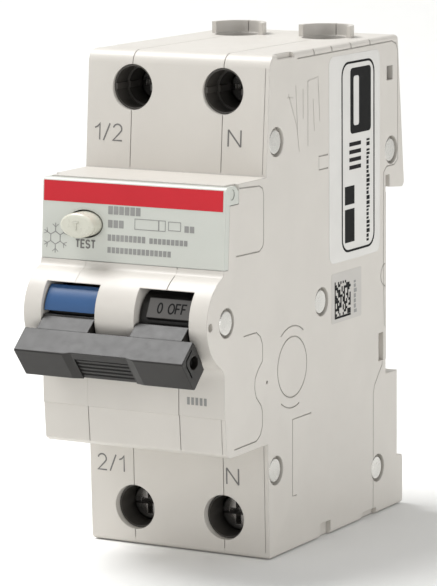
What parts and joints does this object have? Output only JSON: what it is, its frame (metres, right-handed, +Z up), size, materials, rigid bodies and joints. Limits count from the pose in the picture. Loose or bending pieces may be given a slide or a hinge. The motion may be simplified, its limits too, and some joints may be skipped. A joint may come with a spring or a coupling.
{
  "type": "residual current device",
  "caption": "Two-module residual current device for a 35 mm rail, with toggle, trip flag, test button, screw cage terminals, contacts and sliding rail clips.",
  "frame": {"origin": "centre of the seat that rests on the rail, mid width", "axes": "+X right and -Y out of the front face (towards the person), +Y into the rail, +Z up"},
  "size_m": [0.035, 0.0769, 0.0871],
  "materials": {
    "casing_grey": "fine moulded texture",
    "label_grey": "smooth matt",
    "toggle_grey": "satin",
    "flag_blue": "gloss",
    "button_ivory": "semi-gloss",
    "insulator_dark": "matt",
    "insulator_light": "matt",
    "zinc_steel": "zinc plated",
    "plain_steel": "plain",
    "copper_bar": "copper, slightly dulled",
    "copper_wire": "enamelled copper",
    "core_grey": "matt",
    "board_green": "solder mask"
  },
  "bodies": {
    "casing": {"left_shell": "casing_grey", "centre_housing": "casing_grey", "right_shell": "casing_grey", "casing_rivets": "zinc_steel", "label_plate": "label_grey", "test_contact": "copper_bar", "fixed_contact_line": "copper_bar", "fixed_contact_neutral": "copper_bar", "line_input_bar": "copper_bar", "neutral_input_bar": "copper_bar", "line_output_bar": "copper_bar", "neutral_output_bar": "copper_bar", "bimetal_strip": "plain_steel", "coil_bobbin": "insulator_light", "magnet_coil": "copper_wire", "coil_yoke": "plain_steel", "arc_chute": "insulator_light", "arc_plates": "plain_steel", "arc_runner": "plain_steel", "toroid_core": "core_grey", "toroid_winding": "copper_wire", "primary_conductors": "copper_wire", "trip_relay": "insulator_dark", "circuit_board": "board_green", "board_components": "insulator_dark", "clip_spring_left": "plain_steel", "clip_spring_right": "plain_steel", "terminal_block_line_upper": "insulator_dark", "terminal_block_line_lower": "insulator_dark", "terminal_block_neutral_upper": "insulator_dark", "terminal_block_neutral_lower": "insulator_dark"},
    "toggle": {"toggle_bar": "toggle_grey", "toggle_left": "toggle_grey", "toggle_right": "toggle_grey", "toggle_shaft": "zinc_steel"},
    "trip_flag": {"trip_flag": "flag_blue"},
    "link_wire": {"link_wire": "plain_steel"},
    "contacts": {"contact_carrier": "insulator_dark", "contact_arm_line": "copper_bar", "contact_arm_neutral": "copper_bar"},
    "test_button": {"test_button": "button_ivory"},
    "trip_plunger": {"trip_plunger": "plain_steel"},
    "trip_lever": {"trip_lever": "insulator_light"},
    "relay_pin": {"relay_pin": "insulator_light"},
    "rail_clip_left": {"rail_clip_left": "insulator_dark"},
    "rail_clip_right": {"rail_clip_right": "insulator_dark"},
    "screw_line_upper": {"terminal_screw_line_upper": "zinc_steel"},
    "cage_line_upper": {"terminal_cage_line_upper": "zinc_steel"},
    "screw_line_lower": {"terminal_screw_line_lower": "zinc_steel"},
    "cage_line_lower": {"terminal_cage_line_lower": "zinc_steel"},
    "screw_neutral_upper": {"terminal_screw_neutral_upper": "zinc_steel"},
    "cage_neutral_upper": {"terminal_cage_neutral_upper": "zinc_steel"},
    "screw_neutral_lower": {"terminal_screw_neutral_lower": "zinc_steel"},
    "cage_neutral_lower": {"terminal_cage_neutral_lower": "zinc_steel"}
  },
  "joints": [
    {"name": "toggle_turn", "type": "hinge", "parent": "casing", "child": "toggle", "pos_m": [0, -0.0578, 0.00015], "axis": [-1, 0, 0], "range_deg": [0, 56]},
    {"name": "trip_flag_turn", "type": "hinge", "parent": "toggle", "child": "trip_flag", "pos_m": [0, -0.0578, 0.00015], "axis": [-1, 0, 0], "range_deg": [0, 50]},
    {"name": "link_turn", "type": "hinge", "parent": "toggle", "child": "link_wire", "pos_m": [-0.0042, -0.05409, 0.00212], "axis": [1, 0, 0], "range_deg": [0, 61.5]},
    {"name": "contacts_turn", "type": "hinge", "parent": "casing", "child": "contacts", "pos_m": [0, -0.034, 0.008], "axis": [1, 0, 0], "range_deg": [0, 15.01]},
    {"name": "test_button_press", "type": "slide", "parent": "casing", "child": "test_button", "axis": [0, 1, 0], "range_m": [0, 0.0015], "stiffness_N_per_m": 400, "springref_m": -0.0005},
    {"name": "trip_plunger_slide", "type": "slide", "parent": "casing", "child": "trip_plunger", "axis": [0, -1, 0], "range_m": [0, 0.0015], "stiffness_N_per_m": 300, "springref_m": -0.0003},
    {"name": "trip_lever_turn", "type": "hinge", "parent": "casing", "child": "trip_lever", "pos_m": [0, -0.0385, 0.0235], "axis": [-1, 0, 0], "range_deg": [0, 15.01]},
    {"name": "relay_pin_slide", "type": "slide", "parent": "casing", "child": "relay_pin", "axis": [0, -1, 0], "range_m": [0, 0.0012], "stiffness_N_per_m": 150, "springref_m": -0.0002},
    {"name": "rail_clip_left_slide", "type": "slide", "parent": "casing", "child": "rail_clip_left", "axis": [0, 0, -1], "range_m": [0, 0.0035], "stiffness_N_per_m": 1500, "springref_m": -0.001, "deforming": ["clip_spring_left"]},
    {"name": "rail_clip_right_slide", "type": "slide", "parent": "casing", "child": "rail_clip_right", "axis": [0, 0, -1], "range_m": [0, 0.0035], "stiffness_N_per_m": 1500, "springref_m": -0.001, "deforming": ["clip_spring_right"]},
    {"name": "screw_line_upper_turn", "type": "hinge", "parent": "casing", "child": "screw_line_upper", "pos_m": [-0.00875, -0.02, 0.0363], "axis": [0, 1, 0], "range_deg": [0, 2521]},
    {"name": "cage_line_upper_slide", "type": "slide", "parent": "casing", "child": "cage_line_upper", "axis": [0, -1, 0], "range_m": [0, 0.0056]},
    {"name": "screw_line_lower_turn", "type": "hinge", "parent": "casing", "child": "screw_line_lower", "pos_m": [-0.00875, -0.02, -0.036], "axis": [0, 1, 0], "range_deg": [0, 2521]},
    {"name": "cage_line_lower_slide", "type": "slide", "parent": "casing", "child": "cage_line_lower", "axis": [0, -1, 0], "range_m": [0, 0.0056]},
    {"name": "screw_neutral_upper_turn", "type": "hinge", "parent": "casing", "child": "screw_neutral_upper", "pos_m": [0.00875, -0.02, 0.0363], "axis": [0, 1, 0], "range_deg": [0, 2521]},
    {"name": "cage_neutral_upper_slide", "type": "slide", "parent": "casing", "child": "cage_neutral_upper", "axis": [0, -1, 0], "range_m": [0, 0.0056]},
    {"name": "screw_neutral_lower_turn", "type": "hinge", "parent": "casing", "child": "screw_neutral_lower", "pos_m": [0.00875, -0.02, -0.036], "axis": [0, 1, 0], "range_deg": [0, 2521]},
    {"name": "cage_neutral_lower_slide", "type": "slide", "parent": "casing", "child": "cage_neutral_lower", "axis": [0, -1, 0], "range_m": [0, 0.0056]}
  ],
  "couplings": [
    {"joint": "link_turn", "follows": "toggle_turn", "ratio": 1.0964},
    {"joint": "contacts_turn", "follows": "toggle_turn", "ratio": 0.26786},
    {"joint": "trip_lever_turn", "follows": "trip_plunger_slide", "rad_per_m": 174.5},
    {"joint": "screw_line_upper_turn", "follows": "cage_line_upper_slide", "rad_per_m": 7854},
    {"joint": "screw_line_lower_turn", "follows": "cage_line_lower_slide", "rad_per_m": 7854},
    {"joint": "screw_neutral_upper_turn", "follows": "cage_neutral_upper_slide", "rad_per_m": 7854},
    {"joint": "screw_neutral_lower_turn", "follows": "cage_neutral_lower_slide", "rad_per_m": 7854}
  ]
}
